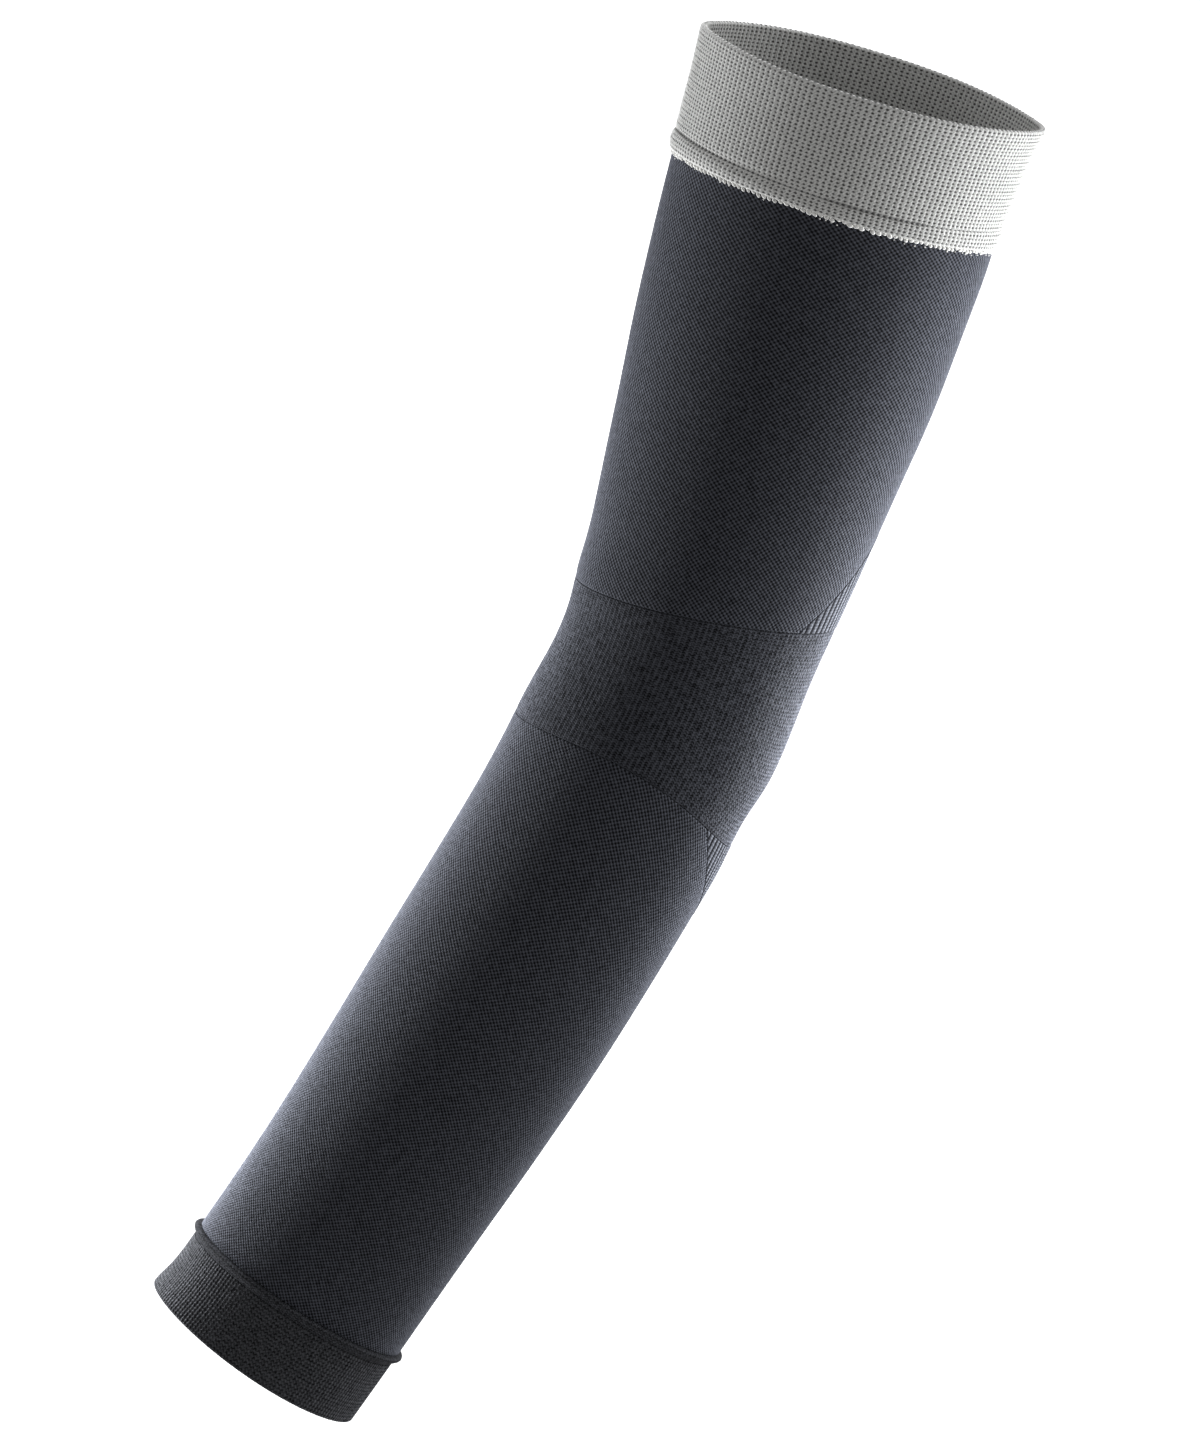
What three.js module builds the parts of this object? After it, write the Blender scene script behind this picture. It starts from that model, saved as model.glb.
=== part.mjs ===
// Arm compression sleeve, in millimetres, +Z up, in the form it takes on a lightly bent arm.
// The origin is the centre of the top opening. The upper arm runs straight down from it and
// the forearm turns towards -X, so the crook of the elbow faces -X and the elbow's tip +X.
import * as THREE from 'three';

// Lengths of the pieces along the sleeve, from the shoulder end to the wrist
const bandLength = 30.2;
const hemLength = 5.3;
const upperArmLength = 120;
const elbowLength = 51.2;
const forearmLength = 177.8;
const weltLength = 3.2;
const cuffLength = 20.2;

// Sizes over the outside of the dark knit: width from crook to elbow tip, depth across it
const topWidth = 97;
const topDepth = 94;
const elbowWidth = 71.2;
const elbowDepth = 70;
const wristWidth = 66.8;
const wristDepth = 54;

// How much of its depth the mouth loses towards its two ends, which makes it lens-shaped
const mouthPinch = 0.35;

// Turns of the sleeve's centre line, in degrees, and how far the elbow's turn starts above
// the elbow panel and runs on below it
const upperArmTurn = 0.6;
const elbowTurn = 12.2;
const forearmTurn = 5.4;
const elbowTurnLeadIn = 5;
const elbowTurnRunOut = 7;

// Thickness of the knit, and how far the raised pieces stand out of the dark knit
const knitWall = 1;
const bandProud = 0.8;
const hemProudAtCrook = 1.6;
const hemProudAtTip = 1;
const weltProud = 1.6;

// How the seams run round the sleeve: each leans down towards the elbow's tip, or up where
// its lean is negative, and bows down at tip and crook against the front and back
const hemSeam = { lean: 0, bow: 0.7 };
const upperElbowSeam = { lean: -5, bow: 0.6 };
const lowerElbowSeam = { lean: 1.9, bow: 4.3 };
const weltSeam = { lean: -0.5, bow: 0 };
const wristSeam = { lean: 0, bow: -0.5 };

// The ribbed gussets at the elbow's tip: heights, width at the base, width of the point
const upperRibHeight = 29.5;
const lowerRibHeight = 22.7;
const ribBaseWidth = 52.5;
const ribPointWidth = 1.2;

// Clearance between neighbouring pieces
const seamGap = 0.3;

// Facets round the sleeve, and how many of them each half of a gusset's base takes
const columns = 48;
const ribColumns = 6;

// Places of the seams along the centre line
const creaseAt = bandLength;
const hemEnd = creaseAt + hemLength;
const upperSeamAt = hemEnd + upperArmLength;
const lowerSeamAt = upperSeamAt + elbowLength;
const weltStart = lowerSeamAt + forearmLength;
const weltEnd = weltStart + weltLength;
const sleeveLength = weltEnd + cuffLength;

// How the section changes along the sleeve: along is a share of its length, and width and
// depth say how far the section has gone from the top opening's size (0) through the
// elbow's (1) to the wrist's (2).
const sections = [
  { along: 0.00, width: 0.00, depth: 0.00 },
  { along: 0.045, width: 0.09, depth: 0.08 },
  { along: 0.07, width: 0.15, depth: 0.13 },
  { along: 0.11, width: 0.165, depth: 0.16 },
  { along: 0.15, width: 0.23, depth: 0.23 },
  { along: 0.21, width: 0.34, depth: 0.35 },
  { along: 0.27, width: 0.55, depth: 0.54 },
  { along: 0.33, width: 0.76, depth: 0.73 },
  { along: 0.39, width: 0.95, depth: 0.92 },
  { along: 0.44, width: 0.985, depth: 0.99 },
  { along: 0.49, width: 0.955, depth: 1.00 },
  { along: 0.56, width: 1.03, depth: 1.06 },
  { along: 0.63, width: 1.01, depth: 1.18 },
  { along: 0.70, width: 1.07, depth: 1.34 },
  { along: 0.78, width: 1.46, depth: 1.58 },
  { along: 0.85, width: 1.86, depth: 1.80 },
  { along: 0.91, width: 2.00, depth: 1.95 },
  { along: 1.00, width: 2.00, depth: 2.00 },
];

// Where the worn knit swells or sinks a little, at the elbow's tip or at the crook. along and
// reach are shares of the sleeve's length, and out is a share of the elbow's width.
const tipAngle = 0;
const crookAngle = Math.PI;
const swells = [
  { along: 0, side: tipAngle, out: 0.018, reach: 0.017 },
  { along: 0, side: crookAngle, out: 0.0085, reach: 0.039 },
  { along: 0.069, side: crookAngle, out: 0.0125, reach: 0.03 },
  { along: 0.143, side: crookAngle, out: 0.004, reach: 0.054 },
  { along: 0.221, side: crookAngle, out: -0.007, reach: 0.064 },
  { along: 0.387, side: crookAngle, out: 0.014, reach: 0.025 },
  { along: 0.412, side: tipAngle, out: -0.0085, reach: 0.034 },
  { along: 0.505, side: tipAngle, out: -0.021, reach: 0.025 },
  { along: 0.51, side: crookAngle, out: 0.01, reach: 0.044 },
  { along: 1, side: crookAngle, out: 0.021, reach: 0.017 },
];

// The centre line as three arcs, each turning evenly towards the crook
const arcs = [
  { length: upperSeamAt - elbowTurnLeadIn, turn: upperArmTurn },
  { length: elbowTurnLeadIn + elbowLength + elbowTurnRunOut, turn: elbowTurn },
  { length: sleeveLength - lowerSeamAt - elbowTurnRunOut, turn: forearmTurn },
];

const sectionTracks = { width: trackOf('width'), depth: trackOf('depth') };

// A smooth curve through one column of the table of sections.
function trackOf(column) {
  const places = sections.map((row) => row.along * sleeveLength);
  const values = sections.map((row) => row[column]);
  return new THREE.CubicInterpolant(places, values, 1);
}

// How far a track has gone at a place along the sleeve, from 0 to 2.
const stageAt = (track, place) => THREE.MathUtils.clamp(track.evaluate(place)[0], 0, 2);

// The size at a stage, from the sizes at the top, the elbow and the wrist.
function sizeAt(stage, top, elbow, wrist) {
  return stage < 1
    ? THREE.MathUtils.lerp(top, elbow, stage)
    : THREE.MathUtils.lerp(elbow, wrist, stage - 1);
}

// The centre line's point and heading at a place along it; heading 0 is straight down.
function centreAt(place) {
  const point = new THREE.Vector3();
  let heading = 0;
  let left = place;
  for (const arc of arcs) {
    const length = THREE.MathUtils.clamp(left, 0, arc.length);
    const turn = THREE.MathUtils.degToRad(arc.turn) * (length / arc.length);
    const halfTurn = turn / 2;
    const chord = halfTurn > 0 ? length * Math.sin(halfTurn) / halfTurn : length;
    point.x -= chord * Math.sin(heading + halfTurn);
    point.z -= chord * Math.cos(heading + halfTurn);
    heading += turn;
    left -= length;
  }
  return { point, heading };
}

// How far the knit stands out of its plain section at a place and an angle.
function swellAt(place, angle) {
  const share = place / sleeveLength;
  let out = 0;
  for (const swell of swells) {
    const near = Math.exp(-(((share - swell.along) / swell.reach) ** 2));
    const facing = ((1 + Math.cos(angle - swell.side)) / 2) ** 2;
    out += swell.out * elbowWidth * near * facing;
  }
  return out;
}

// A point of the sleeve: place along it, angle round it from the elbow's tip, and height
// above the outside of the dark knit.
function sleevePoint(place, angle, height) {
  const { point, heading } = centreAt(place);
  const widthStage = stageAt(sectionTracks.width, place);
  const depthStage = stageAt(sectionTracks.depth, place);
  const halfWidth = sizeAt(widthStage, topWidth, elbowWidth, wristWidth) / 2;
  const halfDepth = sizeAt(depthStage, topDepth, elbowDepth, wristDepth) / 2;
  const pinch = mouthPinch * Math.max(0, 1 - depthStage) * Math.cos(angle) ** 4;
  const out = height + swellAt(place, angle);
  const outwards = (halfWidth + out) * Math.cos(angle);
  return new THREE.Vector3(
    point.x + outwards * Math.cos(heading),
    (halfDepth * (1 - pinch) + out) * Math.sin(angle),
    point.z - outwards * Math.sin(heading),
  );
}

// The half angle that a gusset's base takes, and the even columns bent to meet its corners
const ribHalfAngle = ribBaseWidth / ((elbowWidth + elbowDepth) / 2);
const ribColumnsAngle = 2 * Math.PI * ribColumns / columns;

function columnAngle(even) {
  const size = Math.abs(even);
  if (size <= ribColumnsAngle) {
    return even * ribHalfAngle / ribColumnsAngle;
  }
  const beyond = (size - ribColumnsAngle) / (Math.PI - ribColumnsAngle);
  return Math.sign(even) * THREE.MathUtils.lerp(ribHalfAngle, Math.PI, beyond);
}

// The place of a seam at an angle round the sleeve
const seamLine = (place, { lean, bow }) => (angle) => (
  place + lean * Math.cos(angle) + bow * Math.cos(2 * angle)
);
const crease = () => creaseAt;
const hemLine = seamLine(hemEnd, hemSeam);
const upperSeam = seamLine(upperSeamAt, upperElbowSeam);
const lowerSeam = seamLine(lowerSeamAt, lowerElbowSeam);
const weltTop = seamLine(weltStart, weltSeam);
const weltFoot = seamLine(weltEnd, weltSeam);
const wristEdge = seamLine(sleeveLength, wristSeam);

// How far a gusset reaches from its seam at an angle round the sleeve
const ribReach = (height, angle) => height * Math.max(0, 1 - Math.abs(angle) / ribHalfAngle);

// Half of the clearance, on each side of a seam
const halfGap = seamGap / 2;

// A closed wall all round the sleeve between two seams. outer gives the height of its
// outside over the dark knit at a share of its length and an angle; its inside is flush.
function knitTube({ from, to, rows, outer = () => 0 }) {
  const hub = 10;
  const profile = [];
  for (let row = 0; row <= rows; row += 1) {
    profile.push(new THREE.Vector2(hub + 1, row / rows));
  }
  for (let row = rows; row >= 0; row -= 1) {
    profile.push(new THREE.Vector2(hub, row / rows));
  }
  profile.push(profile[0].clone());
  const geometry = new THREE.LatheGeometry(profile, columns);
  return bendOntoSleeve(geometry, (vertex) => {
    const angle = columnAngle(Math.atan2(vertex.x, vertex.z));
    const share = 1 - vertex.y;
    const outside = Math.hypot(vertex.x, vertex.z) - hub;
    const height = THREE.MathUtils.lerp(-knitWall, outer(share, angle), outside);
    return sleevePoint(THREE.MathUtils.lerp(from(angle), to(angle), share), angle, height);
  });
}

// A three-cornered wall that fills the notch beside a seam. side is -1 above the seam
// and 1 below it.
function ribGusset({ seam, side, height }) {
  const slope = height / (ribBaseWidth / 2);
  const sideGap = seamGap * Math.hypot(1, slope) - halfGap;
  const tip = height * (1 - ribPointWidth / ribBaseWidth) - sideGap;
  const geometry = new THREE.BoxGeometry(2, 1, 1, 2 * ribColumns, ribColumns, 1);
  return bendOntoSleeve(geometry, (vertex) => {
    const share = side < 0 ? vertex.y + 0.5 : 0.5 - vertex.y;
    const reach = THREE.MathUtils.lerp(halfGap, tip, share);
    const angle = vertex.x * ribHalfAngle * (1 - (reach + sideGap) / height);
    const depth = vertex.z - 0.5;
    return sleevePoint(seam(angle) + side * reach, angle, knitWall * depth);
  });
}

// Moves each vertex of a geometry to where place puts it.
function bendOntoSleeve(geometry, place) {
  const positions = geometry.attributes.position;
  const vertex = new THREE.Vector3();
  for (let i = 0; i < positions.count; i += 1) {
    vertex.fromBufferAttribute(positions, i);
    positions.setXYZ(i, ...place(vertex));
  }
  geometry.computeVertexNormals();
  return geometry;
}

// Finishes of the knit: light grey for the band and its hem, charcoal for the rest
const greyKnit = { color: 0xa3a29e, roughness: 0.85, metalness: 0 };
const darkKnit = { color: 0x2b2c32, roughness: 0.7, metalness: 0 };

// The hem is a rounded tuck, most puffed at the crook and all but flat at the elbow's tip.
function hemHeight(share, angle) {
  const towardsCrook = (1 - Math.cos(angle)) / 2;
  const proud = THREE.MathUtils.lerp(hemProudAtTip, hemProudAtCrook, towardsCrook);
  return proud * Math.sin(Math.PI * THREE.MathUtils.lerp(0.15, 0.85, share));
}

const pieces = [
  {
    name: 'top_band',
    knit: greyKnit,
    geometry: knitTube({
      from: () => 0,
      to: (angle) => crease(angle) - halfGap,
      rows: 4,
      outer: () => bandProud,
    }),
  },
  {
    name: 'band_hem',
    knit: greyKnit,
    geometry: knitTube({
      from: (angle) => crease(angle) + halfGap,
      to: (angle) => hemLine(angle) - halfGap,
      rows: 4,
      outer: hemHeight,
    }),
  },
  {
    name: 'upper_arm_panel',
    knit: darkKnit,
    geometry: knitTube({
      from: (angle) => hemLine(angle) + halfGap,
      to: (angle) => upperSeam(angle) - halfGap - ribReach(upperRibHeight, angle),
      rows: 8,
    }),
  },
  {
    name: 'elbow_rib_upper',
    knit: darkKnit,
    geometry: ribGusset({ seam: upperSeam, side: -1, height: upperRibHeight }),
  },
  {
    name: 'elbow_panel',
    knit: darkKnit,
    geometry: knitTube({
      from: (angle) => upperSeam(angle) + halfGap,
      to: (angle) => lowerSeam(angle) - halfGap,
      rows: 6,
    }),
  },
  {
    name: 'elbow_rib_lower',
    knit: darkKnit,
    geometry: ribGusset({ seam: lowerSeam, side: 1, height: lowerRibHeight }),
  },
  {
    name: 'forearm_panel',
    knit: darkKnit,
    geometry: knitTube({
      from: (angle) => lowerSeam(angle) + halfGap + ribReach(lowerRibHeight, angle),
      to: (angle) => weltTop(angle) - halfGap,
      rows: 10,
    }),
  },
  {
    name: 'cuff_welt',
    knit: darkKnit,
    geometry: knitTube({
      from: (angle) => weltTop(angle) + halfGap,
      to: (angle) => weltFoot(angle) - halfGap,
      rows: 4,
      outer: (share) => weltProud * Math.sin(Math.PI * share),
    }),
  },
  {
    name: 'wrist_cuff',
    knit: darkKnit,
    geometry: knitTube({
      from: (angle) => weltFoot(angle) + halfGap,
      to: wristEdge,
      rows: 3,
    }),
  },
];

const sleeve = new THREE.Group();
for (const piece of pieces) {
  const mesh = new THREE.Mesh(piece.geometry, new THREE.MeshStandardMaterial(piece.knit));
  mesh.name = piece.name;
  sleeve.add(mesh);
}

export default sleeve;
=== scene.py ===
from math import cos, pi, radians, sin, tau

import bmesh
import bpy
import numpy as np
from mathutils import Matrix, Vector


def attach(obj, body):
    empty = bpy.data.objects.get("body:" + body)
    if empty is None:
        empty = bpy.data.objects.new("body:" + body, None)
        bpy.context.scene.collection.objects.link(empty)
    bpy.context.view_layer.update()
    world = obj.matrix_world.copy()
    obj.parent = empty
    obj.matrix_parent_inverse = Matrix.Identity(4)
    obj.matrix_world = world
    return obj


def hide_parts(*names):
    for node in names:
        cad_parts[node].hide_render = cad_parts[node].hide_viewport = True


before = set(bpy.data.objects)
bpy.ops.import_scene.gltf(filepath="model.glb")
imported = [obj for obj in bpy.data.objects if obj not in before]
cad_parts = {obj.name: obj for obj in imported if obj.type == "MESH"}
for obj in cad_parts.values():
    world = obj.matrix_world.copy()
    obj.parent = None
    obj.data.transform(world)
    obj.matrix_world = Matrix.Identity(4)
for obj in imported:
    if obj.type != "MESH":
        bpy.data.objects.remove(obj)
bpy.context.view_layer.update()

# The camera looks slightly down on the front of the sleeve through a long lens, and is
# rolled so that the upper arm leans to the right and the forearm runs down to the left.
scene = bpy.context.scene
aim = Vector((-0.0195, 0, -0.19688))
camera_distance = 4.48
camera_drop = radians(10.7)
camera_roll = radians(17.2)

camera = bpy.data.objects.new("camera", bpy.data.cameras.new("camera"))
scene.collection.objects.link(camera)
camera.data.lens = 400
camera.data.sensor_width = 36
camera.data.clip_end = 100
turned = Matrix.Rotation(pi / 2 - camera_drop, 4, "X") @ Matrix.Rotation(camera_roll, 4, "Z")
away = Vector((0, -cos(camera_drop), sin(camera_drop)))
camera.matrix_world = Matrix.Translation(aim + away * camera_distance) @ turned
scene.camera = camera
scene.view_settings.view_transform = "Standard"

# The studio is a wide pale floor well under the sleeve, in soft light from all round. A
# small softbox is close to each side, the right one by the upper arm and the left one by
# the forearm, and a soft beam comes down on the same two parts from behind. A smaller one
# is by the elbow's tip, a large one is in front, and a long one is over the floor behind.
floor_level = -1
floor_width = 30
floor_mesh = bmesh.new()
bmesh.ops.create_grid(floor_mesh, x_segments=1, y_segments=1, size=floor_width / 2)
bmesh.ops.translate(floor_mesh, vec=(0, 0, floor_level), verts=floor_mesh.verts)
floor = bpy.data.objects.new("floor", bpy.data.meshes.new("floor"))
floor_mesh.to_mesh(floor.data)
floor_mesh.free()
scene.collection.objects.link(floor)
floor_paint = bpy.data.materials.new("floor_paint")
floor_paint.use_nodes = True
floor_paint.node_tree.nodes["Principled BSDF"].inputs["Base Color"].default_value = (0.9, 0.9, 0.9, 1)
floor_paint.node_tree.nodes["Principled BSDF"].inputs["Roughness"].default_value = 0.9
floor.data.materials.append(floor_paint)

world = bpy.data.worlds.new("studio")
scene.world = world
world.use_nodes = True
world.node_tree.nodes["Background"].inputs["Color"].default_value = (0.98, 0.99, 1, 1)
world.node_tree.nodes["Background"].inputs["Strength"].default_value = 0.35


def add_light(name, kind, place, target, watts, colour):
    """A light at place, turned towards target, that the camera doesn't see."""
    light = bpy.data.objects.new(name, bpy.data.lights.new(name, kind))
    scene.collection.objects.link(light)
    light.data.energy = watts
    light.data.color = colour
    light.visible_camera = False
    towards = Vector(target) - Vector(place)
    turn = towards.to_track_quat("-Z", "Y").to_matrix().to_4x4()
    light.matrix_world = Matrix.Translation(place) @ turn
    return light


def softbox(name, place, target, width, height, watts, colour=(1, 1, 1)):
    """A rectangular light."""
    light = add_light(name, "AREA", place, target, watts, colour)
    light.data.shape = "RECTANGLE"
    light.data.size = width
    light.data.size_y = height


def beam(name, place, target, watts, degrees, colour):
    """A soft round beam."""
    light = add_light(name, "SPOT", place, target, watts, colour)
    light.data.spot_size = radians(degrees)
    light.data.spot_blend = 0.7
    light.data.shadow_soft_size = 0.1


# A slightly cool white, and the lights in metres and watts
cool = (0.95, 0.975, 1)
softbox("right_softbox", (0.27, -0.02, -0.095), (0.04, 0, -0.11), 0.14, 0.16, 0.66, cool)
softbox("left_softbox", (-0.29, 0.06, -0.34), (-0.1, 0, -0.33), 0.08, 0.2, 1.35, cool)
softbox("elbow_softbox", (0.105, 0.04, -0.19), (0.035, 0, -0.188), 0.03, 0.05, 0.12, cool)
softbox("front_softbox", (0.3, -1.5, 0.3), (0, 0, -0.2), 0.5, 0.5, 1.4)
softbox("floor_softbox", (0.2, 4.8, floor_level + 1.5), (0.2, 4.8, floor_level), 1.8, 5.5, 130)
beam("upper_arm_beam", (0.6, 0.35, 0.8), (0.04, 0, -0.12), 20, 18, cool)
beam("forearm_beam", (-0.285, 0.455, 0.9), (-0.1, 0, -0.31), 60, 15, cool)


# The top band is light grey open knit of nylon and elastane. It is knitted as a strip of
# twice its width and folded at the mouth, so it is double, with columns of pores on both
# sides. It grips the upper arm.
MM = 0.001
WELD = 1e-6
FAR_FROM_SEAMS = 50

# Lengths along the sleeve and sizes over the dark knit, in millimetres
band_length = 30.2
hem_length = 5.3
upper_arm_length = 120
elbow_length = 51.2
forearm_length = 177.8
welt_length = 3.2
cuff_length = 20.2
hem_end = band_length + hem_length
upper_seam_at = hem_end + upper_arm_length
lower_seam_at = upper_seam_at + elbow_length
welt_start = lower_seam_at + forearm_length
welt_end = welt_start + welt_length
sleeve_length = welt_end + cuff_length
widths = (97, 71.2, 66.8)
depths = (94, 70, 54)
mouth_pinch = 0.35
knit_wall = 1
seam_gap = 0.05

# How far the section has gone from the top's size (0) through the elbow's (1) to the
# wrist's (2): share of the length, width, depth
sections = np.array([
    (0.00, 0.00, 0.00),
    (0.045, 0.09, 0.08),
    (0.07, 0.15, 0.13),
    (0.11, 0.165, 0.16),
    (0.15, 0.23, 0.23),
    (0.21, 0.34, 0.35),
    (0.27, 0.55, 0.54),
    (0.33, 0.76, 0.73),
    (0.39, 0.95, 0.92),
    (0.44, 0.985, 0.99),
    (0.49, 0.955, 1.00),
    (0.56, 1.03, 1.06),
    (0.63, 1.01, 1.18),
    (0.70, 1.07, 1.34),
    (0.78, 1.46, 1.58),
    (0.85, 1.86, 1.80),
    (0.91, 2.00, 1.95),
    (1.00, 2.00, 2.00),
])

# The centre line as three arcs that turn towards the crook: length, turn in degrees
turn_lead_in = 5
turn_run_out = 7
arcs = (
    (upper_seam_at - turn_lead_in, 0.6),
    (turn_lead_in + elbow_length + turn_run_out, 12.2),
    (sleeve_length - lower_seam_at - turn_run_out, 5.4),
)

# Where the worn knit swells or sinks a little, at the elbow's tip or at the crook: share
# of the length, angle, share of the elbow's width, reach as a share of the length
TIP, CROOK = 0, pi
swells = (
    (0, TIP, 0.018, 0.017),
    (0, CROOK, 0.0085, 0.039),
    (0.069, CROOK, 0.0125, 0.03),
    (0.143, CROOK, 0.004, 0.054),
    (0.221, CROOK, -0.007, 0.064),
    (0.387, CROOK, 0.014, 0.025),
    (0.412, TIP, -0.0085, 0.034),
    (0.505, TIP, -0.021, 0.025),
    (0.51, CROOK, 0.01, 0.044),
    (1, CROOK, 0.021, 0.017),
)


def section_stage(column, place):
    """How far the section has gone at a place, by a smooth curve through a column of the table."""
    shares, stages = sections[:, 0], sections[:, column]
    slopes = np.empty_like(stages)
    slopes[1:-1] = (stages[2:] - stages[:-2]) / (shares[2:] - shares[:-2])
    slopes[0] = (stages[1] - stages[0]) / (shares[1] - shares[0])
    slopes[-1] = (stages[-1] - stages[-2]) / (shares[-1] - shares[-2])
    share = np.clip(place / sleeve_length, 0, 1)
    row = np.clip(np.searchsorted(shares, share, side="right") - 1, 0, len(shares) - 2)
    step = shares[row + 1] - shares[row]
    t = (share - shares[row]) / step
    return np.clip(
        (2 * t**3 - 3 * t**2 + 1) * stages[row]
        + (t**3 - 2 * t**2 + t) * step * slopes[row]
        + (3 * t**2 - 2 * t**3) * stages[row + 1]
        + (t**3 - t**2) * step * slopes[row + 1],
        0, 2,
    )


def centre_line(place):
    """The centre line's x, z and heading at places along it; heading 0 is straight down."""
    x = np.zeros_like(place)
    z = np.zeros_like(place)
    heading = np.zeros_like(place)
    begun = 0
    for length, degrees in arcs:
        lowest = 0 if begun else -np.inf
        ended = begun + length >= sleeve_length - 0.001
        used = np.clip(place - begun, lowest, np.inf if ended else length)
        half = radians(degrees) * used / length / 2
        chord = used * np.sinc(half / pi)
        x = x - chord * np.sin(heading + half)
        z = z - chord * np.cos(heading + half)
        heading = heading + 2 * half
        begun += length
    return x, z, heading


def swell(place, angle):
    """How far the knit stands out of its plain section, in millimetres."""
    out = np.zeros_like(place)
    for share, side, rise, reach in swells:
        near = np.exp(-((place / sleeve_length - share) / reach) ** 2)
        out += rise * widths[1] * near * ((1 + np.cos(angle - side)) / 2) ** 2
    return out


def sleeve_points(place, angle, height):
    """Points of the sleeve in metres: place along it, angle round it from the elbow's tip,
    and height over the outside of the dark knit, in millimetres."""
    x, z, heading = centre_line(place)
    width_stage = section_stage(1, place)
    depth_stage = section_stage(2, place)
    half_width = np.interp(width_stage, (0, 1, 2), widths) / 2
    half_depth = np.interp(depth_stage, (0, 1, 2), depths) / 2
    pinch = mouth_pinch * np.maximum(0, 1 - depth_stage) * np.cos(angle) ** 4
    height = height + swell(place, angle)
    outwards = (half_width + height) * np.cos(angle)
    across = (half_depth * (1 - pinch) + height) * np.sin(angle)
    return MM * np.stack([x + outwards * np.cos(heading), across, z - outwards * np.sin(heading)], 1)


def flat_knit(columns, rows):
    """Flat knit as a grid round its middle, in which each cell is 1 by 1."""
    knit = bmesh.new()
    knit.loops.layers.uv.new("stitches")
    knit.loops.layers.uv.new("seams")
    bmesh.ops.create_grid(knit, x_segments=columns, y_segments=rows, size=0.5)
    bmesh.ops.scale(knit, vec=(columns, rows, 1), verts=knit.verts)
    return knit


def wrap_round(knit, lay, number):
    """Wraps flat knit round the sleeve as lay says. number gives each point its wale and
    course and its distance from a marked seam, in millimetres."""
    flat = np.array([vertex.co for vertex in knit.verts])
    place, angle, height = lay(*flat.T)
    wale, course, distance = number(place, angle)
    points = sleeve_points(place, angle, height)
    knit.verts.index_update()
    stitches = knit.loops.layers.uv["stitches"]
    seams = knit.loops.layers.uv["seams"]
    for face in knit.faces:
        for loop in face.loops:
            index = loop.vert.index
            loop[stitches].uv = (wale[index], course[index])
            loop[seams].uv = (wale[index], distance[index])
    for vertex, point in zip(knit.verts, points):
        vertex.co = point
    bmesh.ops.remove_doubles(knit, verts=knit.verts, dist=WELD)
    bmesh.ops.recalc_face_normals(knit, faces=knit.faces)


def numbering(head, foot, wales, courses, crowding=0, spiral=0, marked=(), faint=lambda angle: 0):
    """Numbers the stitches of a panel between two lines round the sleeve. The courses can
    crowd towards the foot and climb round it. marked names the lines with a seam, and faint
    gives the distance that makes it fainter at an angle."""
    def number(place, angle):
        share = (place - head(angle)) / (foot(angle) - head(angle))
        wale = angle / tau * wales
        course = courses * (share - crowding * share * (1 - share)) + spiral * angle / tau
        distance = np.full_like(place, FAR_FROM_SEAMS)
        for line in marked:
            distance = np.minimum(distance, np.abs(place - line(angle)) + faint(angle))
        return wale, course, distance
    return number


# Rows of cells that turn over each edge of a wall, and how much the rows crowd there
TURN = 4
crowding_at_edges = 0.75


def tube(columns, rows, start, end, outer, number,
         edges=(0.06, 0.06), warp=lambda angle: angle, shape=None):
    """A closed wall all round the sleeve from line to line, with its rows close together
    near them. outer is the height of its outside over the dark knit at a share of its
    length. edges gives how far its head and its foot are rounded. warp bends the angles of
    the grid's columns, and shape moves the points of the flat knit before it is wrapped."""
    knit = flat_knit(columns, 2 * (rows + TURN))
    if shape:
        shape(knit)

    def lay(x, y, z):
        row = y + rows + TURN
        foot = np.clip((row - rows) / TURN, 0, 1) * pi
        head = np.clip((row - 2 * rows - TURN) / TURN, 0, 1) * pi
        down = np.clip(row / rows, 0, 1) - np.clip((row - rows - TURN) / rows, 0, 1)
        down = down - crowding_at_edges * np.sin(tau * down) / tau
        out = np.where(row > rows + TURN, -np.cos(head), np.cos(foot))
        angle = warp(x / columns * tau)
        top = outer(down, angle)
        first = start(angle) + edges[0]
        last = end(angle) - edges[1]
        place = first + (last - first) * down + np.sin(foot) * edges[1] - np.sin(head) * edges[0]
        height = (top - knit_wall) / 2 + out * (top + knit_wall) / 2 + np.sign(out) * z
        return place, angle, height

    wrap_round(knit, lay, number)
    return knit


def finished(knit, name, finish, node=None):
    """Makes the knit an object that takes the place of its CAD solid."""
    piece = bpy.data.objects.new(name + "_knit", bpy.data.meshes.new(name + "_knit"))
    knit.to_mesh(piece.data)
    knit.free()
    scene.collection.objects.link(piece)
    piece.data.shade_smooth()
    piece.data.materials.append(finish)
    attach(piece, "root")
    if node:
        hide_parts(node)
    return piece


def maths(tree, operation, *given):
    """A math node's result. What is given may be a number or another node's result."""
    node = tree.nodes.new("ShaderNodeMath")
    node.operation = operation
    for socket, value in zip(node.inputs, given):
        if isinstance(value, (int, float)):
            socket.default_value = value
        else:
            tree.links.new(value, socket)
    return node.outputs["Value"]


def wave(tree, number):
    """A smooth wave from -1 to 1 with its crests at whole numbers."""
    return maths(tree, "COSINE", maths(tree, "MULTIPLY", number, tau))


def between(tree, value, low, high):
    """Goes smoothly from 0 at low to 1 at high."""
    node = tree.nodes.new("ShaderNodeMapRange")
    node.interpolation_type = "SMOOTHSTEP"
    tree.links.new(value, node.inputs["Value"])
    node.inputs["From Min"].default_value = low
    node.inputs["From Max"].default_value = high
    return node.outputs["Result"]


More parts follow.
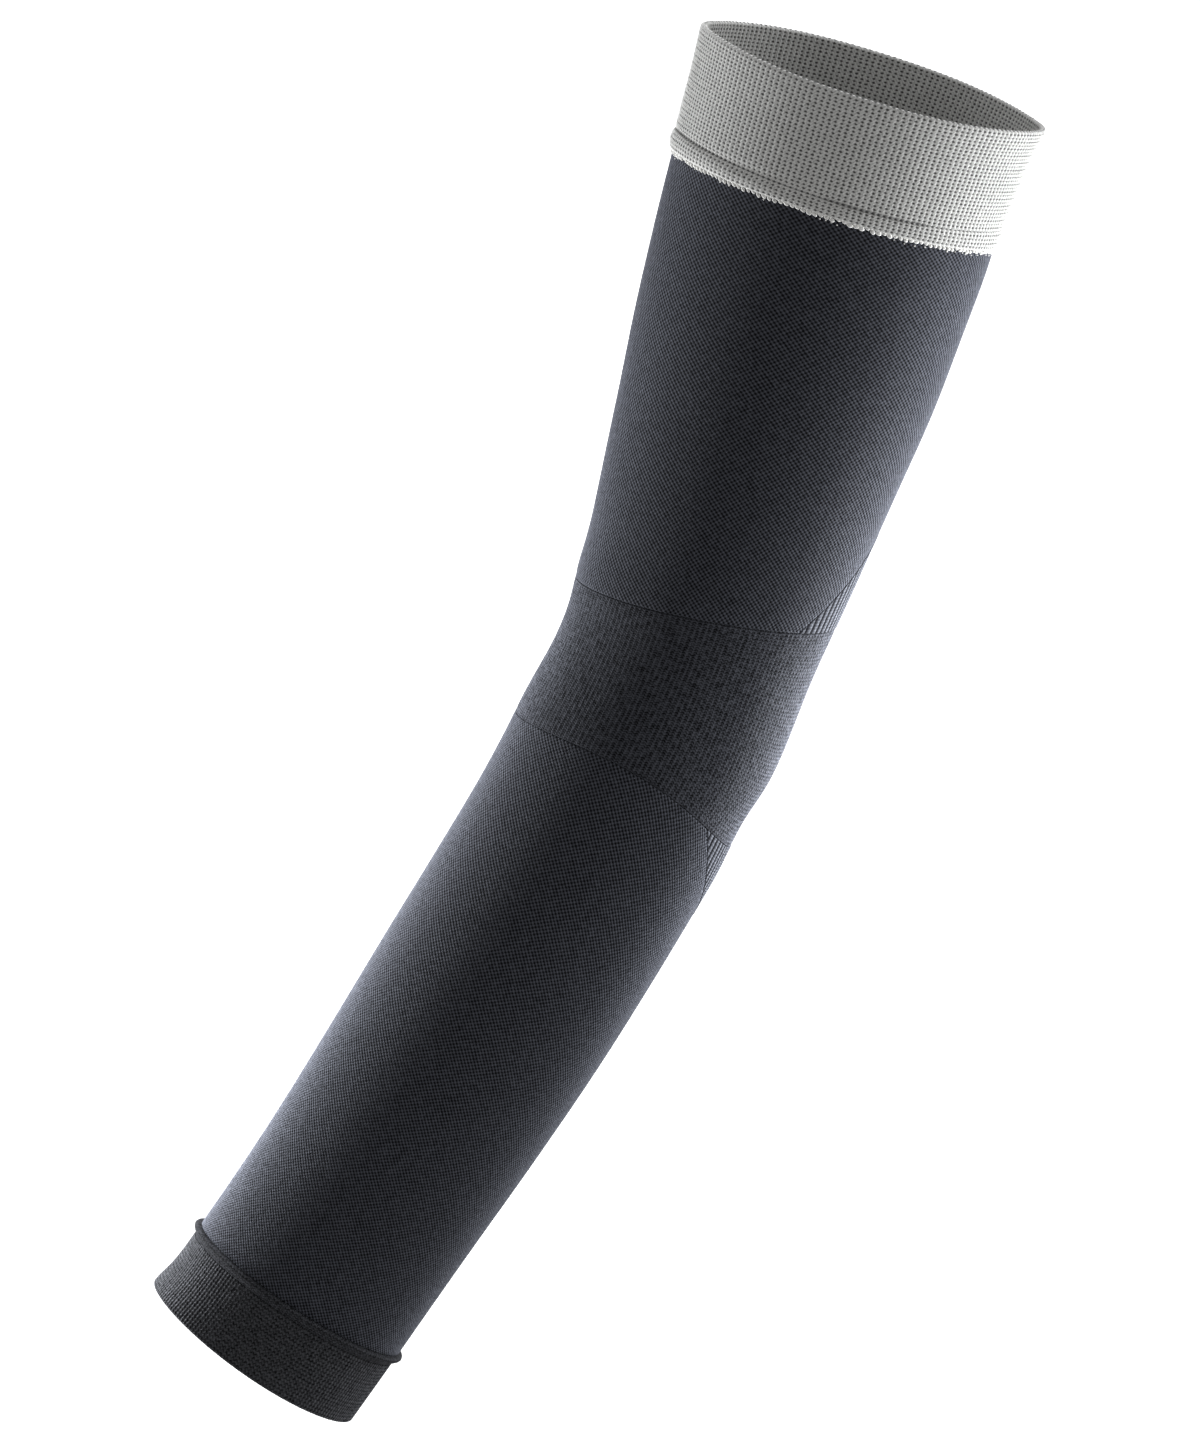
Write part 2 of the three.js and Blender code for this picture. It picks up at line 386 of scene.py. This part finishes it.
def noise(tree, size, least, most):
    """Soft random values in the object's own space, about from least to most. size is in
    metres. The noise keeps near its middle, so its range is stretched."""
    stretched = 1.6 * (most - least)
    lowest = least - 0.3 * (most - least)
    place = tree.nodes.new("ShaderNodeTexCoord")
    node = tree.nodes.new("ShaderNodeTexNoise")
    node.inputs["Scale"].default_value = 1 / size
    node.inputs["Detail"].default_value = 1
    tree.links.new(place.outputs["Object"], node.inputs["Vector"])
    return maths(tree, "MULTIPLY_ADD", node.outputs["Fac"], stretched, lowest)


def knit_numbers(tree, layer):
    """The two numbers that a layer holds at a point of the knit."""
    numbers = tree.nodes.new("ShaderNodeUVMap")
    numbers.uv_map = layer
    split = tree.nodes.new("ShaderNodeSeparateXYZ")
    tree.links.new(numbers.outputs["UV"], split.inputs["Vector"])
    return split.outputs["X"], split.outputs["Y"]


def yarn_finish(name, low, high, pattern, relief, sheen=0.1, painted_edge_sheen=4.4):
    """A knitted finish. pattern gives the knit's height from 0 to 1, which leads the colour
    from low, painted shade down in the pores, to high, on the loops, and the relief, in millimetres.
    A row of small holes along a marked seam is painted darker, painted shade in the holes.
    The colour is also painted lighter edge on, a painted sheen, as much as the last argument says."""
    finish = bpy.data.materials.new(name)
    finish.use_nodes = True
    tree = finish.node_tree
    shader = tree.nodes["Principled BSDF"]
    wale, distance = knit_numbers(tree, "seams")
    # Along a marked seam the knit is painted darker in a row of dots: painted shade in the seam's
    # holes
    holes = maths(tree, "MULTIPLY_ADD", wave(tree, wale), -0.35, 0.4)
    clear = between(tree, distance, 0.15, 0.8)
    kept = maths(tree, "MAXIMUM", clear, holes)
    height = maths(tree, "MULTIPLY", pattern(tree), kept)
    # The pores take the low colour, painted shade down in the knit's holes; the loops take the high
    # colour
    mix = tree.nodes.new("ShaderNodeMix")
    mix.data_type = "RGBA"
    mix.inputs["A"].default_value = (*low, 1)
    mix.inputs["B"].default_value = (*high, 1)
    uneven = maths(tree, "MULTIPLY", height, noise(tree, 0.0005, 0.6, 1.3))
    tree.links.new(uneven, mix.inputs["Factor"])
    # The base colour is painted lighter edge on: a painted sheen, standing in for light caught by the
    # fibres
    facing = tree.nodes.new("ShaderNodeLayerWeight").outputs["Facing"]
    painted_sheen_gain = maths(tree, "MULTIPLY_ADD", maths(tree, "POWER", facing, 2), painted_edge_sheen, 0.92)
    painted_sheen = tree.nodes.new("ShaderNodeVectorMath")
    painted_sheen.operation = "SCALE"
    tree.links.new(mix.outputs["Result"], painted_sheen.inputs[0])
    tree.links.new(painted_sheen_gain, painted_sheen.inputs["Scale"])
    tree.links.new(painted_sheen.outputs["Vector"], shader.inputs["Base Color"])
    bump = tree.nodes.new("ShaderNodeBump")
    bump.inputs["Strength"].default_value = 1
    bump.inputs["Distance"].default_value = relief * MM
    fibres = noise(tree, 0.0003, 0, 0.5)
    tree.links.new(maths(tree, "ADD", height, fibres), bump.inputs["Height"])
    tree.links.new(bump.outputs["Normal"], shader.inputs["Normal"])
    shader.inputs["Roughness"].default_value = 0.8
    shader.inputs["Specular IOR Level"].default_value = 0.1
    shader.inputs["Sheen Weight"].default_value = sheen
    shader.inputs["Sheen Roughness"].default_value = 0.35
    shader.inputs["Sheen Tint"].default_value = (0.9, 0.94, 1, 1)
    return finish


def open_knit(tree):
    """Wales with a column of pores between each two, which step from side to side."""
    wale, course = knit_numbers(tree, "stitches")
    step = wave(tree, maths(tree, "MULTIPLY", course, 0.5))
    column = wave(tree, maths(tree, "MULTIPLY_ADD", step, 0.07, wale))
    both = maths(tree, "ADD", column, wave(tree, course))
    opening = maths(tree, "ADD", both, noise(tree, 0.0013, -0.5, 0.5))
    pore = between(tree, opening, 0.2, 1.7)
    ply = wave(tree, maths(tree, "MULTIPLY_ADD", wale, 2, course))
    loops = maths(tree, "MULTIPLY_ADD", ply, 0.1, 0.88)
    return maths(tree, "MULTIPLY", maths(tree, "MULTIPLY_ADD", pore, -0.92, 1), loops)


# The grey low colour is painted shade in the band's pores, and the darker strands of the plain grey
# yarn
grey_painted_shade_and_dark_yarn = (0.06, 0.057, 0.053)
grey_high = (0.72, 0.711, 0.688)
grey_knit = yarn_finish(
    "grey_open_knit", grey_painted_shade_and_dark_yarn, grey_high, open_knit, 0.3, sheen=0.4, painted_edge_sheen=2.1,
)

band_proud = 0.8
band_wales = 174
band_courses = 28
wale_steps = 4
wale_proud = 0.12
band_columns = band_wales * wale_steps


def line_at(place):
    """A line straight round the sleeve."""
    return lambda angle: np.full_like(angle, place)


def raise_wales(knit):
    """Raises the middle of each wale and sinks the column of pores beside it."""
    for vertex in knit.verts:
        vertex.co.z = -wale_proud * cos(tau * (vertex.co.x / wale_steps))


# The crease over the hem, at angles from the tip to the crook: how deep it is, how far it
# reaches, and how faint its row of holes. It is thin at the crook, a soft valley at the
# front, and only a few holes beyond.
crease_angles = np.radians((0, 50, 58, 86, 98, 125, 145, 180))
crease_depths = (0, 0, 0, 0.1, 0.45, 0.5, 0.3, 0.25)
crease_reaches = (1, 1, 1, 1.5, 1.7, 1.3, 0.6, 0.5)
crease_faintness = (1.5, 1.5, 0.1, 0.1, 0.5, 0.45, 0.05, 0)


def along_crease(values, angle):
    """A value of the crease at an angle round the sleeve."""
    return np.interp(np.abs(angle), crease_angles, values)


def crease_dip(distance, angle):
    """How much the crease pulls in the knit at a distance from it."""
    near = np.exp(-(distance / along_crease(crease_reaches, angle)) ** 2)
    return along_crease(crease_depths, angle) * near


def crease_fade(angle):
    """How much fainter than a seam the crease is."""
    return along_crease(crease_faintness, angle)


def band_height(down, angle):
    """Height of the band's outside, which dips towards the crease at its foot."""
    return band_proud - crease_dip((1 - down) * band_length, angle)


mouth = line_at(0)
crease = line_at(band_length)


def offset(line, distance):
    """A line that keeps a distance below another."""
    return lambda angle: line(angle) + distance


band_numbers = numbering(
    mouth, crease, band_wales, band_courses, marked=[crease], faint=crease_fade,
)
top_band = finished(
    tube(band_columns, 34, mouth, offset(crease, -seam_gap / 2), band_height,
         band_numbers, edges=(0.9, 0.1), shape=raise_wales),
    "top_band", grey_knit, "top_band",
)

# The hem is the tuck along the band's lower edge, in the same grey knit, where the band is
# joined to the dark knit. It is puffed and creased off at the crook, and all but flat at
# the elbow's tip.
hem_courses = 5
hem_puff_at_crook = 0.75
hem_puff_at_tip = 0.2
hem_bow = 0.7


def seam(place, lean, bow):
    """A seam's place at an angle round the sleeve."""
    return lambda angle: place + lean * np.cos(angle) + bow * np.cos(2 * angle)


hem_line = seam(hem_end, 0, hem_bow)


def hem_height(down, angle):
    """Height of the hem's rounded outside."""
    towards_crook = (1 - np.cos(angle)) / 2
    puff = hem_puff_at_tip + (hem_puff_at_crook - hem_puff_at_tip) * towards_crook**1.5
    rounded = puff * np.sin(pi * (0.05 + 0.85 * down))
    return band_proud - 0.05 + rounded - crease_dip(down * hem_length, angle)


hem_numbers = numbering(
    crease, hem_line, band_wales, hem_courses, marked=[crease], faint=crease_fade,
)
band_hem = finished(
    tube(band_columns, 12, offset(crease, seam_gap / 2), offset(hem_line, -seam_gap / 2),
         hem_height, hem_numbers, edges=(0.1, 0.7), shape=raise_wales),
    "band_hem", grey_knit, "band_hem",
)

# The last course of grey loops hooks over the dark knit all along the hem, which gives the
# edge its uneven, toothed line. Here and there a grey loop shows between the dark ones.
edge_loop_size = Vector((1.9, 1.2, 0.8)) / 2
stray_loop_size = Vector((0.6, 0.5, 0.4)) / 2
stray_share = 0.3
edge_loop_height = 0.35
stray_loop_height = 0.1
# The edge loops' yarn is painted lighter than the band's knit of the same yarn: a painted highlight
# on the loops
grey_yarn_lit_high = (0.85, 0.84, 0.81)


def twisted_yarn(tree):
    """Plain yarn, a little uneven."""
    return noise(tree, 0.0006, 0.75, 1)


grey_yarn = yarn_finish(
    "grey_yarn", grey_painted_shade_and_dark_yarn, grey_yarn_lit_high, twisted_yarn, 0.1, sheen=0.4, painted_edge_sheen=2.8,
)


def surface_frame(place, angle, height):
    """The matrix at a point of the sleeve: round it, along it and out of it."""
    steps = np.array([0.0, 0.1, 0.0])
    turns = np.array([0.0, 0.0, 0.002])
    here, below, beside = sleeve_points(place + steps, angle + turns, np.full(3, float(height)))
    round_way = Vector(beside - here).normalized()
    down_way = Vector(below - here).normalized()
    out_way = round_way.cross(-down_way).normalized()
    axes = Matrix((round_way, out_way.cross(round_way), out_way)).transposed().to_4x4()
    return Matrix.Translation(here) @ axes


def add_loop(knit, place, angle, height, tilt, size):
    """Adds the rounded front of a loop, a few dozen faces, to the knit."""
    spot = surface_frame(place, angle, height) @ Matrix.Rotation(tilt, 4, "Z")
    bmesh.ops.create_uvsphere(
        knit, u_segments=8, v_segments=4, radius=MM, matrix=spot @ Matrix.Diagonal((*size, 1)),
    )


random_loops = np.random.default_rng(7)
loops = bmesh.new()
loops.loops.layers.uv.new("stitches")
loop_seams = loops.loops.layers.uv.new("seams")
for index in range(band_wales):
    angle = tau * index / band_wales
    reach = random_loops.uniform(-0.25, 0.45)
    tilt = -random_loops.uniform(0.25, 0.65)
    grow = random_loops.uniform(0.8, 1.1)
    edge = hem_line(angle) + reach
    add_loop(loops, edge, angle, edge_loop_height, tilt, edge_loop_size * grow)
    if random_loops.random() < stray_share:
        below = hem_line(angle) + random_loops.uniform(0.8, 1.5)
        beside = angle + 0.3 / band_wales
        add_loop(loops, below, beside, stray_loop_height, tilt, stray_loop_size * grow)
for face in loops.faces:
    for corner in face.loops:
        corner[loop_seams].uv = (0, FAR_FROM_SEAMS)
hem_loops = finished(loops, "hem_loops", grey_yarn)


# The upper arm is a charcoal tube of fine bird's-eye knit, knitted in the round from nylon
# and elastane, whose pores stand in a square lattice on its corner. The hem is linked to
# its head, and its foot has a pointed notch for the ribs over the elbow.
rib_columns = 18
arm_columns = 144
arm_wales = 170
arm_courses = 90
rib_base_width = 52.5
upper_rib_height = 29.5
lower_rib_height = 22.7
rib_half_angle = rib_base_width / ((widths[1] + depths[1]) / 2)
rib_columns_angle = tau * rib_columns / arm_columns

upper_seam = seam(upper_seam_at, -5, 0.6)
lower_seam = seam(lower_seam_at, 1.9, 4.3)
seam_dip = 0.1
seam_dip_reach = 1.4
elbow_seam_faintness = 0.38


def elbow_faint(angle):
    """The elbow's seams are faint all round: little more than a change of knit."""
    return elbow_seam_faintness


def bent_columns(even):
    """Even angles bent so that grid columns meet the corners of the ribs."""
    size = np.abs(even)
    inside = even * rib_half_angle / rib_columns_angle
    beyond = (size - rib_columns_angle) / (pi - rib_columns_angle)
    outside = np.sign(even) * (rib_half_angle + (pi - rib_half_angle) * beyond)
    return np.where(size <= rib_columns_angle, inside, outside)


def rib_reach(height, angle):
    """How far the ribs reach from their seam at an angle round the sleeve."""
    return height * np.maximum(0, 1 - np.abs(angle) / rib_half_angle)


def dipped(length, head=0, foot=0):
    """An outside that is pulled in a little by the seam at its head or its foot."""
    def outer(down, angle):
        near_head = np.exp(-(down * length / seam_dip_reach) ** 2)
        near_foot = np.exp(-((1 - down) * length / seam_dip_reach) ** 2)
        return -seam_dip * (head * near_head + foot * near_foot) * np.ones_like(angle)
    return outer


def birds_eye(tree):
    """Loops and pores in a square lattice, whose loops lean along one diagonal."""
    wale, course = knit_numbers(tree, "stitches")
    leaning = maths(tree, "MULTIPLY", wave(tree, maths(tree, "SUBTRACT", wale, course)), 0.38)
    crossing = maths(tree, "MULTIPLY", wave(tree, maths(tree, "ADD", wale, course)), 0.27)
    both = maths(tree, "ADD", leaning, crossing)
    return maths(tree, "ADD", both, noise(tree, 0.0012, 0.24, 0.68))


# The low colour is painted shade in the pores and between the loops
arm_painted_shade = (0.001, 0.001, 0.002)
arm_high = (0.09, 0.094, 0.112)
arm_knit = yarn_finish("charcoal_birds_eye", arm_painted_shade, arm_high, birds_eye, 0.2)


def upper_foot(angle):
    """The lower edge of the upper arm, with its notch."""
    return upper_seam(angle) - seam_gap / 2 - rib_reach(upper_rib_height, angle)


upper_arm_numbers = numbering(
    hem_line, upper_seam, arm_wales, arm_courses, marked=[upper_seam], faint=elbow_faint,
)
upper_arm_panel = finished(
    tube(arm_columns, 60, offset(hem_line, seam_gap / 2), upper_foot,
         dipped(upper_arm_length, foot=1), upper_arm_numbers, warp=bent_columns),
    "upper_arm_panel", arm_knit, "upper_arm_panel",
)

# The elbow panel is a plainer and finer charcoal knit of the same yarn, between two curved
# seams. It is knitted on to the upper arm and the forearm, and gives way as the arm bends.
elbow_wales = 150
elbow_courses = 62


def plain_knit(groove, lump):
    """A pattern of fine columns of loops, each loop a V. groove is how much the columns
    stand out, and lump the size of their unevenness in metres."""
    def pattern(tree):
        wale, course = knit_numbers(tree, "stitches")
        side = maths(tree, "PINGPONG", wale, 0.5)
        legs = wave(tree, maths(tree, "MULTIPLY_ADD", side, 1.2, course))
        halves = maths(tree, "MULTIPLY", wave(tree, maths(tree, "MULTIPLY", wale, 2)), 0.1)
        columns = maths(tree, "MULTIPLY_ADD", wave(tree, wale), groove, halves)
        both = maths(tree, "MULTIPLY_ADD", legs, 0.3, columns)
        return maths(tree, "ADD", both, noise(tree, lump, 0.05, 1))
    return pattern


# The low colour is painted shade between the loops and down between the ribs
elbow_painted_shade = (0.001, 0.001, 0.002)
elbow_high = (0.074, 0.077, 0.091)
elbow_pattern = plain_knit(0.22, 0.0011)
elbow_knit = yarn_finish("charcoal_plain_knit", elbow_painted_shade, elbow_high, elbow_pattern, 0.22)
elbow_numbers = numbering(
    upper_seam, lower_seam, elbow_wales, elbow_courses,
    marked=[upper_seam, lower_seam], faint=elbow_faint,
)
elbow_panel = finished(
    tube(arm_columns, 40, offset(upper_seam, seam_gap / 2), offset(lower_seam, -seam_gap / 2),
         dipped(elbow_length, head=1, foot=1), elbow_numbers, warp=bent_columns),
    "elbow_panel", elbow_knit, "elbow_panel",
)

# The ribs over and under the tip of the elbow are three-cornered and knitted in raised
# lengthways ribs of the same yarn, which let the knit open as the elbow bends. They are
# knitted into the notches of the upper arm and the forearm.
rib_pitch = 2.4
rib_proud = 0.4
rib_wall = 0.6 * knit_wall
rib_steps = 8
rib_rows = 40
rib_course = 0.9
rib_count = 2 * round(rib_base_width / rib_pitch / 2)
rib_wales = rib_count * pi / rib_half_angle


def ribbed(tree):
    """Small loops along each raised rib, and painted shade down between the ribs."""
    wale, course = knit_numbers(tree, "stitches")
    small = maths(tree, "MULTIPLY_ADD", wave(tree, course), 0.2, noise(tree, 0.0009, 0.5, 0.85))
    return maths(tree, "MULTIPLY", small, maths(tree, "MULTIPLY_ADD", wave(tree, wale), -0.4, 0.7))


# The ribs' yarn is painted lighter than the elbow's knit of the same yarn: a painted highlight where
# the raised ribs catch the light
rib_lit_high = (0.12, 0.125, 0.145)
rib_knit = yarn_finish("charcoal_rib_knit", elbow_painted_shade, rib_lit_high, ribbed, 0.12)


def rib_gusset(name, line, side, height):
    """Cuts flat ribbed knit to its three corners, and wraps it over the elbow's tip."""
    rib_step = rib_base_width / (rib_count * rib_steps)
    knit = flat_knit(rib_count * rib_steps, rib_rows)
    bmesh.ops.scale(knit, vec=(rib_step, height / rib_rows, 1), verts=knit.verts)
    for vertex in knit.verts:
        bulge = abs(sin(pi * vertex.co.x / rib_base_width * rib_count))
        vertex.co.z = rib_proud * (bulge**0.4 - 0.8)
    for corner in (-1, 1):
        bmesh.ops.bisect_plane(
            knit, geom=knit.verts[:] + knit.edges[:] + knit.faces[:], dist=1e-4,
            plane_co=(corner * (rib_base_width / 2 - 0.3), -height / 2, 0),
            plane_no=(corner * height, rib_base_width / 2, 0), clear_outer=True,
        )

    def lay(x, y, z):
        angle = x / (rib_base_width / 2) * rib_half_angle
        place = line(angle) + side * (y + height / 2 + seam_gap / 2)
        return place, angle, z

    number = numbering(
        line, offset(line, height), rib_wales, height / rib_course,
        marked=[line], faint=elbow_faint,
    )
    wrap_round(knit, lay, number)
    piece = finished(knit, name, rib_knit, name)
    wall = piece.modifiers.new("wall", "SOLIDIFY")
    wall.thickness = rib_wall * MM
    wall.offset = -1
    return piece


elbow_rib_upper = rib_gusset("elbow_rib_upper", upper_seam, -1, upper_rib_height)
elbow_rib_lower = rib_gusset("elbow_rib_lower", lower_seam, 1, lower_rib_height)

# The forearm is the same charcoal bird's-eye knit as the upper arm, knitted on from the
# elbow and notched for the lower ribs. Its courses crowd a little towards the wrist.
forearm_wales = 160
forearm_courses = 147
forearm_crowding = 0.1
forearm_spiral = -12
welt_lean = -0.5
welt_top = seam(welt_start, welt_lean, 0)
welt_foot = seam(welt_end, welt_lean, 0)


def forearm_head(angle):
    """The upper edge of the forearm, with its notch."""
    return lower_seam(angle) + seam_gap / 2 + rib_reach(lower_rib_height, angle)


forearm_numbers = numbering(
    lower_seam, welt_top, forearm_wales, forearm_courses, crowding=forearm_crowding,
    spiral=forearm_spiral, marked=[lower_seam], faint=elbow_faint,
)
forearm_panel = finished(
    tube(arm_columns, 80, forearm_head, offset(welt_top, -seam_gap / 2),
         dipped(forearm_length, head=1), forearm_numbers, warp=bent_columns),
    "forearm_panel", arm_knit, "forearm_panel",
)

# The welt is a raised bead of the cuff's dark knit, where a few courses are caught up in a
# narrow roll between the forearm and the cuff.
welt_proud = 1.6
welt_courses = 4
cuff_ribs = 175


def welt_height(down, angle):
    """Height of the bead's outside, which is steep above and runs out over the cuff."""
    return welt_proud * np.sin(pi * down**0.6) ** 1.3 * np.ones_like(angle)


# The low colour is painted shade between the loops and in the grooves
cuff_painted_shade = (0.002, 0.002, 0.0025)
# The roll's knit is painted darker than the cuff's knit of the same yarn: painted shade on the roll
welt_shaded_high = (0.058, 0.059, 0.066)
cuff_pattern = plain_knit(0.12, 0.0008)
welt_knit = yarn_finish(
    "charcoal_welt_knit", cuff_painted_shade, welt_shaded_high, cuff_pattern, 0.12, sheen=0, painted_edge_sheen=1,
)
cuff_welt = finished(
    tube(arm_columns, 10, offset(welt_top, seam_gap / 2), offset(welt_foot, -seam_gap / 2),
         welt_height, numbering(welt_top, welt_foot, cuff_ribs, welt_courses)),
    "cuff_welt", welt_knit, "cuff_welt",
)

# The wrist cuff is dark knit of the same yarn in fine lengthways ribs. It is knitted on
# below the welt and ends in a turned edge round the wrist.
cuff_courses = 18
cuff_steps = 6
cuff_rib_depth = 0.2
wrist_edge = seam(sleeve_length, 0, -0.5)
cuff_high = (0.076, 0.077, 0.084)
cuff_knit = yarn_finish("charcoal_cuff_knit", cuff_painted_shade, cuff_high, cuff_pattern, 0.12)


def rib_finely(knit):
    """Sinks a groove between each two ribs."""
    for vertex in knit.verts:
        vertex.co.z = -cuff_rib_depth * (0.5 + 0.5 * cos(tau * vertex.co.x / cuff_steps)) ** 2


wrist_cuff = finished(
    tube(cuff_ribs * cuff_steps, 18, offset(welt_foot, seam_gap / 2), wrist_edge,
         dipped(cuff_length), numbering(welt_foot, wrist_edge, cuff_ribs, cuff_courses),
         edges=(0.12, 0.5), shape=rib_finely),
    "wrist_cuff", cuff_knit, "wrist_cuff",
)
